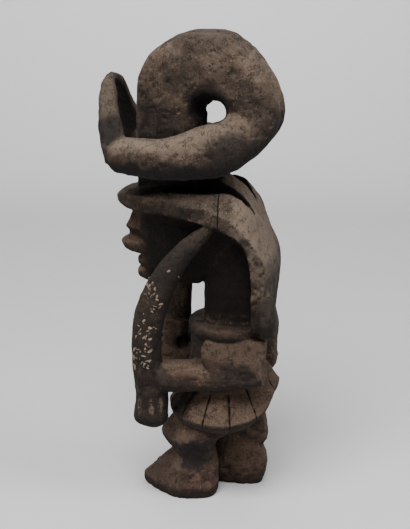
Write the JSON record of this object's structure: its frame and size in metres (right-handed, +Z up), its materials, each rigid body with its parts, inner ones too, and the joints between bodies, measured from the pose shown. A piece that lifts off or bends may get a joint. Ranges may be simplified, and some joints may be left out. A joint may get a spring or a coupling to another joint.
{
  "type": "carved ikenga figure",
  "caption": "Wooden shrine figure seated on a round stool, with coiled horns, a long hooded face, a tusk in its left hand and a blade in its right, standing on its flat feet.",
  "frame": {"origin": "on the floor under the middle of the figure's box", "axes": "+Z up, -Y the way the figure faces, +X towards the figure's left hand"},
  "size_m": [0.13, 0.1816, 0.4782],
  "materials": {
    "weathered_wood": "dry, dusty hardwood with dark recesses, traces of chalk and red pigment"
  },
  "bodies": {
    "root": {"ikenga_figure": "weathered_wood"}
  },
  "joints": []
}
